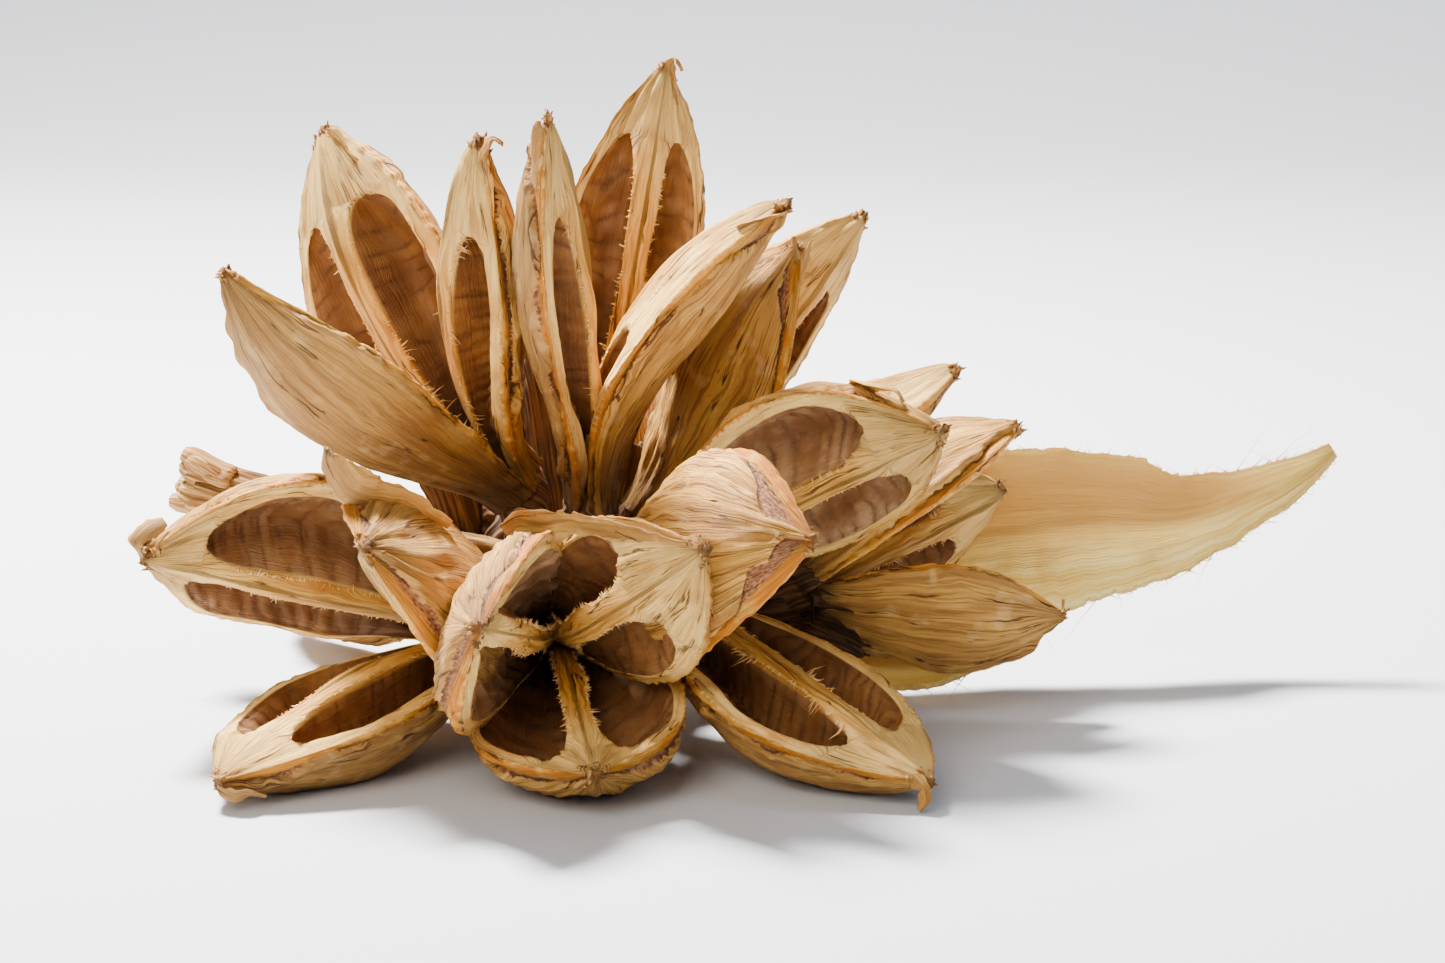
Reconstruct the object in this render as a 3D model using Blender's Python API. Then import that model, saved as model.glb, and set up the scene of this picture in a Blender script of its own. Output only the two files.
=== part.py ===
"""Dry seed head of a giant lily, lying on its side as picked.

Woody capsules stand round a short length of stem. Each has split open into three boat-shaped
valves, which stay joined at the base. A large papery bract and a small one spring from the stem.
Units are metres, +Z is up, the head rests on z = 0 and the origin is under the middle of its box.
"""

import math
from dataclasses import dataclass

import bmesh
import bpy
from mathutils import Matrix, Vector

MM = 0.001
CLEARANCE = 0.3 * MM
DENT_CLEARANCE = 0.8 * MM

# Shape that all valves share. Shares are of the valve's length, from base to tip.
BULGE_POWER = 1.27
BULGE_FULLNESS = 0.85
NECK_SHARE = 0.33
TIP_SHARE = 0.06
WALL = 4.2 * MM
SEPTUM_HALF = 1.5 * MM
SEPTUM_EDGE_HALF = 2.4 * MM
CHAMBER_START, CHAMBER_FULL, CHAMBER_ROUNDS, CHAMBER_END = 0.05, 0.2, 0.62, 0.775
OUTER_STEPS = 6
WALL_STEPS = 3
STATIONS = (0, 0.06, 0.13, 0.22, 0.32, 0.43, 0.54, 0.64, 0.72, 0.775, 0.81, 0.87, 0.94, 1)

# Pedicels, which carry the capsules: the stalk's radius, and the knob that the valves root in as
# distances along the capsule from its base, with the radius at each.
PEDICEL_RADIUS = 4.6 * MM
PEDICEL_KNOB = ((-4 * MM, 6.0 * MM), (2 * MM, 6.4 * MM), (9 * MM, 3.4 * MM))
PEDICEL_SIDES = 10

# Stem: the points of its centre line and the radius at each.
STEM_LINE = (
    ((-126, 62, 44), 6.5),
    ((-104, 57, 38), 7.5),
    ((-80, 50, 31), 8.0),
    ((-56, 43, 26), 9.0),
    ((-32, 38, 23), 9.5),
    ((-10, 35, 21), 9.0),
    ((6, 33, 20), 6.5),
)
STEM_SIDES = 12
STEM_STEPS = 3
STEM_RIB = 0.06

# The floor's height in the layout above, which cuts a small flat on each valve that touches it,
# and the point of the layout's floor that ends up under the middle of the head.
FLOOR_HEIGHT = -4 * MM
MIDDLE = (9.91 * MM, 25.05 * MM)

SHARP_EDGE = math.radians(40)


@dataclass
class Valve:
    """One third of a capsule. Tip and widest radius in millimetres, angles in degrees.

    It is turned about the line from base to tip, bent outward along it, and opened flat across.
    """

    tip: tuple
    width: float = 22
    turn: float = 0
    bend: float = 0
    opened: float = 62
    depth_ratio: float = 0.92


@dataclass
class Capsule:
    """A fruit whose valves are joined at the base. Points in millimetres, angles in degrees."""

    base: tuple
    valves: tuple


CAPSULES = {
    "capsule_top_left": Capsule((-48, 28, 50), (
        Valve((-94, 46, 133), 24, -40, 75, 75),
        Valve((-111, -14, 108), 20, 20, 0),
        Valve((-55, 0, 136), 22, 30, 60, 62, 0.8))),
    "capsule_top": Capsule((-31, 22, 46), (
        Valve((-13, 36, 149), 19, 0, 10),
        Valve((-38, -22, 143), 17, -40, 20),
        Valve((15, -4, 122), 18, 0, 80))),
    "capsule_top_right": Capsule((-19, 48, 38), (
        Valve((35, 75, 109), 16),
        Valve((18, 28, 108), 20, 0, 45),
        Valve((57, 58, 74), 20, 0, 40))),
    "capsule_right": Capsule((-19, 13, 31), (
        Valve((49, -15, 71), 25, 0, -5, 70),
        Valve((20, -62, 56), 25, 0, 0, 68, 0.85),
        Valve((45, -60, 3), 22, 12, 12, 80))),
    "capsule_front": Capsule((-38, 8, 19), (
        Valve((-4, -71, 56), 23, -10, 55, 62, 0.7),
        Valve((-50, -84, 42), 24, -10, 12, 78, 0.7),
        Valve((-27, -72, 8), 25, 8, 20, 77, 0.8))),
    "capsule_left": Capsule((-51, 22, 16), (
        Valve((-131, -10, 41), 27, -30, 0, 65),
        Valve((-77, -60, 54), 26, 14, 34, 82, 0.8),
        Valve((-109, -60, 3), 22, -12, 34, 80))),
    "capsule_far_right": Capsule((16, 27, 24), (
        Valve((70, 30, 64), 19, 0, 0, 62, 0.8),
        Valve((68, 52, 45), 19, 0, 20),
        Valve((80, 26, 20), 16, -50, 0, 62, 0.8))),
    "capsule_back_left": Capsule((-54, 54, 32), (
        Valve((-74, 128, 70), 22),
        Valve((-112, 114, 12), 22),
        Valve((-66, 134, 8), 21))),
    "capsule_back_right": Capsule((-16, 54, 22), (
        Valve((-26, 118, 84), 21),
        Valve((-22, 134, 10), 20),
        Valve((30, 122, 15), 21))),
}

# Capsules dented where a valve of the front capsule, given by its number, presses into them.
DENTED = {"capsule_left": 1, "capsule_right": 0}

# Bracts: points of the centre line, and the half width of the blade and its curl there.
BRACT_THICKNESS = 1.2 * MM
BRACT_STEPS = 3
BRACT_ACROSS = 8
BRACTS = {
    "bract_large": (
        ((-4, 44, 24), 8, 60),
        ((20, 52, 27), 14, 60),
        ((52, 64, 31), 20, 50),
        ((87, 67, 34), 19, 45),
        ((114, 73, 34), 11, 45),
        ((139, 76, 43), 5.5, 60),
        ((150, 75, 50), 1.6, 60),
    ),
    "bract_small": (
        ((12, 38, 8), 3, 40),
        ((30, 38, 6), 6, 40),
        ((48, 38, 5), 6, 40),
        ((64, 36, 8), 1.5, 40),
    ),
}


def material(name, color, roughness):
    made = bpy.data.materials.new(name)
    made.use_nodes = True
    surface = made.node_tree.nodes["Principled BSDF"]
    surface.inputs["Base Color"].default_value = (*color, 1)
    surface.inputs["Roughness"].default_value = roughness
    surface.inputs["Metallic"].default_value = 0
    return made


def solid_from_rings(rings):
    """A closed mesh through rings of points that all have the same count."""
    mesh = bmesh.new()
    loops = [[mesh.verts.new(point) for point in ring] for ring in rings]
    count = len(loops[0])
    for low, high in zip(loops, loops[1:]):
        for i in range(count):
            j = (i + 1) % count
            mesh.faces.new((low[i], low[j], high[j], high[i]))
    mesh.faces.new(loops[0][::-1])
    mesh.faces.new(loops[-1])
    bmesh.ops.triangulate(mesh, faces=mesh.faces[:])
    bmesh.ops.recalc_face_normals(mesh, faces=mesh.faces[:])
    return mesh


def object_from(mesh, name, collection=None):
    data = bpy.data.meshes.new(name)
    mesh.to_mesh(data)
    mesh.free()
    made = bpy.data.objects.new(name, data)
    (collection or bpy.context.scene.collection).objects.link(made)
    return made


def mixed(a, b, share):
    return a + (b - a) * share


def bulge(share):
    """Radius of the closed capsule at a share of its length, as a share of its largest radius."""
    neck = NECK_SHARE * (1 - share) ** 2
    belly = math.sin(math.pi * share**BULGE_POWER) if share < 1 else 0
    return max(neck + (1 - neck) * max(belly, 0) ** BULGE_FULLNESS, TIP_SHARE)


def chamber_opening(share):
    """How far the two chambers are open at a share of the length, from 0, closed, to 1."""
    if not CHAMBER_START < share < CHAMBER_END:
        return 0
    if share < CHAMBER_FULL:
        return math.sin(math.pi / 2 * (share - CHAMBER_START) / (CHAMBER_FULL - CHAMBER_START))
    past = max(0, (share - CHAMBER_ROUNDS) / (CHAMBER_END - CHAMBER_ROUNDS))
    return math.sqrt(1 - past**2)


def half_section(depth, width, opening, opened):
    """Points of a valve's cross-section from its rim, through one chamber, to the septum's edge.

    The first axis points out of the capsule and the second one across the valve.
    """
    rim = Vector((depth * math.cos(opened), width * math.sin(opened)))
    edge = Vector((0, min(SEPTUM_EDGE_HALF, 0.4 * rim.y)))
    face = (edge - rim).length
    lip = mixed(0.5, min(WALL / face, 0.45), opening)
    foot = mixed(0.5, 0.97, opening)
    wall = min(WALL, 0.4 * depth)
    inner_depth, inner_width = depth - wall, width - wall
    side = min(SEPTUM_HALF, 0.3 * inner_width)
    near_septum = math.asin(min(1, side / inner_width)) + 0.12
    points = [mixed(rim, edge, lip)]
    for step in range(WALL_STEPS):
        angle = mixed(opened * 0.86, near_septum, step / (WALL_STEPS - 1))
        hollow = Vector((inner_depth * math.cos(angle), inner_width * math.sin(angle)))
        if step == WALL_STEPS - 1:
            hollow.y = max(side, hollow.y * 0.6)
        flat = mixed(rim, edge, mixed(lip, foot, (step + 1) / (WALL_STEPS + 1)))
        points.append(mixed(flat, hollow, opening**0.6))
    points.append(mixed(rim, edge, foot))
    points.append(edge)
    return points


def section(depth, width, opening, opened):
    """The whole closed cross-section of a valve that reaches a given angle to each side."""
    outer = []
    for step in range(OUTER_STEPS + 1):
        angle = mixed(-opened, opened, step / OUTER_STEPS)
        outer.append(Vector((depth * math.cos(angle), width * math.sin(angle))))
    half = half_section(depth, width, opening, opened)
    mirrored = [Vector((p.x, -p.y)) for p in reversed(half)]
    return outer + half + mirrored


def capsule_axis(capsule):
    """Direction of the capsule, midway between its valves."""
    base = Vector(capsule.base)
    return sum(((Vector(v.tip) - base).normalized() for v in capsule.valves), Vector()).normalized()


def valve_matrix(capsule, valve):
    """Columns: out of the capsule, across the valve, along its chord; and the capsule's base."""
    base = Vector(capsule.base)
    chord = (Vector(valve.tip) - base).normalized()
    axis = capsule_axis(capsule)
    out = (chord * axis.dot(chord) - axis).normalized()
    out = Matrix.Rotation(math.radians(valve.turn), 3, chord) @ out
    across = chord.cross(out)
    turned = Matrix((out, across, chord)).transposed().to_4x4()
    return Matrix.Translation(base * MM) @ turned


def bent(point, share, chord, bend):
    """A point of the section at a share of the length, on a spine bent into an arc."""
    if abs(bend) < 1e-6:
        return Vector((point.x, point.y, share * chord))
    angle = bend * (share - 0.5)
    radius = chord / (2 * math.sin(bend / 2))
    middle_x = radius * (math.cos(bend / 2) - math.cos(angle))
    middle_z = radius * (math.sin(angle) + math.sin(bend / 2))
    return Vector((
        middle_x + point.x * math.cos(angle), point.y, middle_z - point.x * math.sin(angle)))


def valve_mesh(capsule, valve, grown=0.0, hollow=1):
    length = (Vector(valve.tip) - Vector(capsule.base)).length * MM
    width = valve.width * MM + grown
    opened = math.radians(valve.opened)
    place = valve_matrix(capsule, valve)
    rings = []
    for share in STATIONS:
        size = bulge(share)
        opening = hollow * chamber_opening(share)
        ring = section(width * valve.depth_ratio * size, width * size, opening, opened)
        rings.append([
            place @ bent(point, share, length, math.radians(valve.bend)) for point in ring])
    return solid_from_rings(rings)


def ring_across(centre, direction, radius, sides, ribs=0.0):
    """A ring of points round a centre, at right angles to a direction."""
    turned = direction.to_track_quat("Z", "Y")
    points = []
    for i in range(sides):
        angle = 2 * math.pi * i / sides
        reach = radius * (1 + ribs * (1 if i % 2 else -1))
        points.append(centre + turned @ Vector((reach * math.cos(angle), reach * math.sin(angle), 0)))
    return points


def smooth_line(points, steps):
    """Catmull-Rom curve through points, with the given steps between each pair."""
    line = []
    for i in range(len(points) - 1):
        before = points[max(i - 1, 0)]
        start, end = points[i], points[i + 1]
        after = points[min(i + 2, len(points) - 1)]
        for step in range(steps):
            t = step / steps
            line.append(0.5 * (
                2 * start + (end - before) * t + (2 * before - 5 * start + 4 * end - after) * t**2
                + (3 * start - before - 3 * end + after) * t**3))
    return line + [points[-1]]


def tube_rings(line, radii, sides, ribs=0.0):
    rings = []
    for i, point in enumerate(line):
        direction = line[min(i + 1, len(line) - 1)] - line[max(i - 1, 0)]
        rings.append(ring_across(point, direction.normalized(), radii[i], sides, ribs))
    return rings


def stem_line():
    """Centre points and radii of the stem."""
    knots = [Vector((*point, radius)) * MM for point, radius in STEM_LINE]
    fine = smooth_line(knots, STEM_STEPS)
    return [point.to_3d() for point in fine], [point.w for point in fine]


def stem_mesh(grown=0.0):
    line, radii = stem_line()
    if grown:
        line = [line[0] - (line[1] - line[0]), *line[1:-1], line[-1] + (line[-1] - line[-2]) * 0.2]
    return solid_from_rings(
        tube_rings(line, [radius + grown for radius in radii], STEM_SIDES, STEM_RIB))


def bract_mesh(knots):
    """A thin channelled blade, swept along its centre line with its hollow towards -Y."""
    points = smooth_line([Vector(knot[0]) * MM for knot in knots], BRACT_STEPS)
    rest = smooth_line([Vector(knot[1:]) for knot in knots], BRACT_STEPS)
    rings = []
    for i, centre in enumerate(points):
        along = (points[min(i + 1, len(points) - 1)] - points[max(i - 1, 0)]).normalized()
        back = (Vector((0, 1, 0)) - along * along.y).normalized()
        across = along.cross(back)
        curl = math.radians(rest[i].y)
        radius = rest[i].x * MM / math.sin(curl)
        ring = []
        for reach, order in ((radius + BRACT_THICKNESS, 1), (radius, -1)):
            for step in range(BRACT_ACROSS + 1)[::order]:
                angle = mixed(-curl, curl, step / BRACT_ACROSS)
                ring.append(centre + back * (reach * math.cos(angle) - radius)
                            + across * reach * math.sin(angle))
        rings.append(ring)
    return solid_from_rings(rings)


def nearest_on_stem(point):
    line, _ = stem_line()
    return min(line, key=lambda q: (q - point).length)


def pedicel_mesh(capsule):
    """A stalk from inside the stem to a knob in which the three valves are rooted."""
    axis = capsule_axis(capsule)
    base = Vector(capsule.base) * MM
    root = nearest_on_stem(base)
    knob = [base + axis * reach for reach, _ in PEDICEL_KNOB]
    line = [root, mixed(root, knob[0], 0.3), mixed(root, knob[0], 0.65), *knob]
    radii = [PEDICEL_RADIUS] * 3 + [radius for _, radius in PEDICEL_KNOB]
    return solid_from_rings(tube_rings(line, radii, PEDICEL_SIDES))


def modify(target, operation, **settings):
    """Applies one Boolean modifier to an object."""
    modifier = target.modifiers.new(operation.title(), "BOOLEAN")
    modifier.operation = operation
    modifier.solver = "EXACT"
    for key, value in settings.items():
        setattr(modifier, key, value)
    graph = bpy.context.evaluated_depsgraph_get()
    data = bpy.data.meshes.new_from_object(target.evaluated_get(graph))
    target.modifiers.clear()
    target.data = data


def remove(objects):
    for made in list(objects):
        bpy.data.objects.remove(made)


def capsule_object(name, capsule, stem_cutter):
    helpers = bpy.data.collections.new(name + "_valves")
    bpy.context.scene.collection.children.link(helpers)
    for number, valve in enumerate(capsule.valves):
        object_from(valve_mesh(capsule, valve), f"{name}_valve_{number}", helpers)
    made = object_from(pedicel_mesh(capsule), name)
    modify(made, "UNION", operand_type="COLLECTION", collection=helpers)
    remove(helpers.objects)
    bpy.data.collections.remove(helpers)
    modify(made, "DIFFERENCE", object=stem_cutter)
    return made


def floor_block():
    """Everything under the floor, as a cutter."""
    low = 100 * MM
    mesh = bmesh.new()
    bmesh.ops.create_cube(mesh, size=1)
    block = object_from(mesh, "floor_cutter")
    size = Matrix.Diagonal((1, 1, low, 1))
    block.data.transform(Matrix.Translation((0, 0, FLOOR_HEIGHT - low / 2)) @ size)
    return block


def dent(target, valve_number):
    """Presses one valve of the front capsule, unhollowed and a little grown, into a target."""
    front = CAPSULES["capsule_front"]
    valve = valve_mesh(front, front.valves[valve_number], DENT_CLEARANCE, 0)
    presser = object_from(valve, "presser")
    modify(target, "DIFFERENCE", object=presser)
    remove([presser])


def finish(made, surface):
    """Gives an object its material, soft shading and its place over the floor."""
    made.data.materials.clear()
    made.data.materials.append(surface)
    made.data.shade_smooth()
    made.data.set_sharp_from_angle(angle=SHARP_EDGE)
    made.data.transform(Matrix.Translation((-MIDDLE[0], -MIDDLE[1], -FLOOR_HEIGHT)))


def main():
    remove(bpy.data.objects)
    valve_skin = material("valve_skin", (0.62, 0.45, 0.25), 0.75)
    bract_paper = material("bract_paper", (0.6, 0.5, 0.28), 0.7)
    stem_bark = material("stem_bark", (0.36, 0.26, 0.16), 0.85)

    cutter = object_from(stem_mesh(CLEARANCE), "stem_cutter")
    floor = floor_block()
    for helper in (cutter, floor):
        helper.hide_render = True
        helper.display_type = "WIRE"
    finish(object_from(stem_mesh(), "stem"), stem_bark)
    for name, capsule in CAPSULES.items():
        made = capsule_object(name, capsule, cutter)
        modify(made, "DIFFERENCE", object=floor)
        if name in DENTED:
            dent(made, DENTED[name])
        finish(made, valve_skin)
    for name, knots in BRACTS.items():
        made = object_from(bract_mesh(knots), name)
        modify(made, "DIFFERENCE", object=cutter)
        finish(made, bract_paper)
    remove([cutter, floor])


if __name__ == "__main__":
    main()
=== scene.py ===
"""Looks of a dry seed head of a giant lily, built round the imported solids.

Every valve is rebuilt fine: torn papery skin outside, an orange and mauve band along the rim, a pale
woody face, two wrinkled chambers and a fringed septum between them. Lengths in the tables are in
millimetres, as in the solids' own layout, which place() moves onto the frame.
"""

import math
from dataclasses import dataclass

import bpy
import numpy as np
from mathutils import Matrix, Vector


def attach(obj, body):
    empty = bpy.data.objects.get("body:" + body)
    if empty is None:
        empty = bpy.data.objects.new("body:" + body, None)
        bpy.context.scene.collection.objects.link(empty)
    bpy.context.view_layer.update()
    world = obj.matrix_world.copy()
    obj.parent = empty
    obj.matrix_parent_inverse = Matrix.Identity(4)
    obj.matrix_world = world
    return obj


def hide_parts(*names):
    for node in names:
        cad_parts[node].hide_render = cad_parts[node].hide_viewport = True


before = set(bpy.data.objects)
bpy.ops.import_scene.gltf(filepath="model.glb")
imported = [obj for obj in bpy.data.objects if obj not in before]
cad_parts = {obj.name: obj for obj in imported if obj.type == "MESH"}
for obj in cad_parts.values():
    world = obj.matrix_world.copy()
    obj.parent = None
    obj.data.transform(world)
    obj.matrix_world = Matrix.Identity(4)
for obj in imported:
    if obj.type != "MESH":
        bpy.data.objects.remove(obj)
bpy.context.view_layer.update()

MM = 0.001

# The layout's floor height, and its point under the middle of the head.
FLOOR_HEIGHT = -4
MIDDLE = (9.91, 25.05)

# Shape that all valves share, as in the solids. Shares are of the valve's length, base to tip.
BULGE_POWER = 1.27
BULGE_FULLNESS = 0.85
NECK_SHARE = 0.33
TIP_SHARE = 0.06
WALL = 4.2
LIP = 2.8
SEPTUM_HALF = 1.5
SEPTUM_EDGE_HALF = 2.1
CHAMBER_START, CHAMBER_RISE, CHAMBER_ROUND, CHAMBER_END = 0.05, 0.15, 0.155, 0.775

# Stalks: the radius, and the knob that the valves root in as distances along the capsule's axis
# from its base, with the radius at each.
PEDICEL_RADIUS = 4.6
PEDICEL_KNOB = ((-4, 6.0), (2, 6.4), (9, 3.4))

# Fine mesh: steps along a valve, and on each half of its section.
STATIONS = 150
OUTER_STEPS = 22
FACE_STEPS = 7
CHAMBER_STEPS = 15
FOOT_STEPS = 3
SEPTUM_STEPS = 3


@dataclass
class Valve:
    """One third of a capsule. Tip and widest radius in millimetres, angles in degrees."""

    tip: tuple
    width: float = 22
    turn: float = 0
    bend: float = 0
    opened: float = 62
    depth_ratio: float = 0.92


@dataclass
class Capsule:
    base: tuple
    valves: tuple


CAPSULES = {
    "capsule_top_left": Capsule((-48, 28, 50), (
        Valve((-94, 46, 133), 24, -40, 75, 75),
        Valve((-111, -14, 108), 20, 20, 0),
        Valve((-55, 0, 136), 22, 30, 60, 62, 0.8))),
    "capsule_top": Capsule((-31, 22, 46), (
        Valve((-13, 36, 149), 19, 0, 10),
        Valve((-38, -22, 143), 17, -40, 20),
        Valve((15, -4, 122), 18, 0, 80))),
    "capsule_top_right": Capsule((-19, 48, 38), (
        Valve((35, 75, 109), 16),
        Valve((18, 28, 108), 20, 0, 45),
        Valve((57, 58, 74), 20, 0, 40))),
    "capsule_right": Capsule((-19, 13, 31), (
        Valve((49, -15, 71), 25, 0, -5, 70),
        Valve((20, -62, 56), 25, 0, 0, 68, 0.85),
        Valve((45, -60, 3), 22, 12, 12, 80))),
    "capsule_front": Capsule((-38, 8, 19), (
        Valve((-4, -71, 56), 23, -10, 55, 62, 0.7),
        Valve((-50, -84, 42), 24, -10, 12, 78, 0.7),
        Valve((-27, -72, 8), 25, 8, 20, 77, 0.8))),
    "capsule_left": Capsule((-51, 22, 16), (
        Valve((-131, -10, 41), 27, -30, 0, 65),
        Valve((-77, -60, 54), 26, 14, 34, 82, 0.8),
        Valve((-109, -60, 3), 22, -12, 34, 80))),
    "capsule_far_right": Capsule((16, 27, 24), (
        Valve((70, 30, 64), 19, 0, 0, 62, 0.8),
        Valve((68, 52, 45), 19, 0, 20),
        Valve((80, 26, 20), 16, -50, 0, 62, 0.8))),
    "capsule_back_left": Capsule((-54, 54, 32), (
        Valve((-74, 128, 70), 22),
        Valve((-112, 114, 12), 22),
        Valve((-66, 134, 8), 21))),
    "capsule_back_right": Capsule((-16, 54, 22), (
        Valve((-26, 118, 84), 21),
        Valve((-22, 134, 10), 20),
        Valve((30, 122, 15), 21))),
}


def place(points):
    """Layout points in millimetres to the frame, in metres."""
    return (np.asarray(points, float) - (*MIDDLE, FLOOR_HEIGHT)) * MM


def lattice(seed):
    return np.random.default_rng(seed).uniform(-1, 1, (64, 64))


def noise(x, y, seed):
    """Smooth noise between -1 and 1 over a plane, with features one unit wide."""
    x, y = np.broadcast_arrays(np.asarray(x, float), np.asarray(y, float))
    table = lattice(seed)
    column, row = np.floor(x).astype(int), np.floor(y).astype(int)
    fx, fy = x - column, y - row
    fx, fy = fx * fx * (3 - 2 * fx), fy * fy * (3 - 2 * fy)
    corner = [[table[(column + i) % 64, (row + j) % 64] for j in (0, 1)] for i in (0, 1)]
    low = corner[0][0] * (1 - fx) + corner[1][0] * fx
    high = corner[0][1] * (1 - fx) + corner[1][1] * fx
    return low * (1 - fy) + high * fy


def fractal(x, y, seed, octaves=3):
    total = 0
    for octave in range(octaves):
        total = total + noise(x * 2**octave, y * 2**octave, seed + octave) / 2**octave
    return total


def ramp(value, low, high):
    """Smooth step from 0 at low to 1 at high."""
    t = np.clip((value - low) / (high - low), 0, 1)
    return t * t * (3 - 2 * t)


def mixed(a, b, share):
    return a + (b - a) * share


def unit(v):
    return v / np.maximum(np.linalg.norm(v, axis=-1, keepdims=True), 1e-12)


def grid_mesh(grids, name, attributes=()):
    """One object from grids of points [along, round, xyz], each closed round and capped at its ends."""
    points, faces, values, start = [], [], [], 0
    for grid in grids:
        rows, count = grid["points"].shape[:2]
        flat = grid["points"].reshape(-1, 3)
        index = np.arange(rows * count).reshape(rows, count) + start
        beside = np.roll(index, -1, axis=1)
        quads = np.stack([index[:-1], beside[:-1], beside[1:], index[1:]], -1).reshape(-1, 4)
        faces.append(quads)
        caps = []
        for ring, order in ((0, 1), (-1, -1)):
            middle = start + rows * count + len(caps)
            around = np.stack([index[ring], np.roll(index[ring], -1)][::order], -1)
            caps.append(np.concatenate([around[:, ::-1], np.full((count, 1), middle)], 1))
        middles = grid["points"][[0, -1]].mean(1)
        points.append(np.concatenate([flat, middles]))
        faces.extend(caps)
        for key in attributes:
            value = grid[key].reshape(-1, 3)
            ends = grid[key][[0, -1]].mean(1)
            values.append((key, np.concatenate([value, ends])))
        start += rows * count + 2
    above_floor = np.concatenate(points)
    above_floor[:, 2] = np.maximum(above_floor[:, 2], 0)
    return mesh_object(above_floor, faces, name, values)


def mesh_object(points, face_groups, name, values=()):
    mesh = bpy.data.meshes.new(name)
    sizes = np.concatenate([np.full(len(group), group.shape[1]) for group in face_groups])
    corners = np.concatenate([group.reshape(-1) for group in face_groups])
    mesh.vertices.add(len(points))
    mesh.vertices.foreach_set("co", np.ascontiguousarray(points, dtype=np.float32).reshape(-1))
    mesh.loops.add(len(corners))
    mesh.loops.foreach_set("vertex_index", corners.astype(np.int32))
    mesh.polygons.add(len(sizes))
    mesh.polygons.foreach_set("loop_start", np.concatenate([[0], np.cumsum(sizes)[:-1]]).astype(np.int32))
    mesh.polygons.foreach_set("loop_total", sizes.astype(np.int32))
    mesh.update(calc_edges=True)
    mesh.validate()
    mesh.shade_smooth()
    for key in dict(values):
        layer = mesh.attributes.new(key, "FLOAT_VECTOR", "POINT")
        data = np.concatenate([value for other, value in values if other == key])
        layer.data.foreach_set("vector", data.astype(np.float32).reshape(-1))
    made = bpy.data.objects.new(name, mesh)
    bpy.context.scene.collection.objects.link(made)
    return made


# Valves.

def bulge(share):
    neck = NECK_SHARE * (1 - share) ** 2
    belly = np.maximum(np.sin(np.pi * share**BULGE_POWER), 0)
    return np.maximum(neck + (1 - neck) * belly**BULGE_FULLNESS, TIP_SHARE)


def chamber_opening(share, look):
    """How far the chambers are open at a share of the length, from 0, closed, to 1."""
    rise = np.sin(np.pi / 2 * np.clip((share - look.start) / CHAMBER_RISE, 0, 1))
    past = np.clip((share - look.mouth) / look.round + 1, 0, 1)
    return rise * np.sqrt(1 - past**2.6)


def valve_axes(capsule, valve):
    base = Vector(capsule.base)
    chord = (Vector(valve.tip) - base).normalized()
    axis = sum(((Vector(v.tip) - base).normalized() for v in capsule.valves), Vector()).normalized()
    out = (chord * axis.dot(chord) - axis).normalized()
    out = Matrix.Rotation(math.radians(valve.turn), 3, chord) @ out
    return np.array(out), np.array(chord.cross(out)), np.array(chord)


def bent(x, y, share, length, bend):
    """Section points carried along a spine that is bent into an arc."""
    share = np.broadcast_to(share, x.shape)
    if abs(bend) < 1e-6:
        return np.stack([x, y, share * length], -1)
    angle = bend * (share - 0.5)
    radius = length / (2 * math.sin(bend / 2))
    middle_x = radius * (math.cos(bend / 2) - np.cos(angle))
    middle_z = radius * (np.sin(angle) + math.sin(bend / 2))
    return np.stack([middle_x + x * np.cos(angle), y, middle_z - x * np.sin(angle)], -1)


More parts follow.
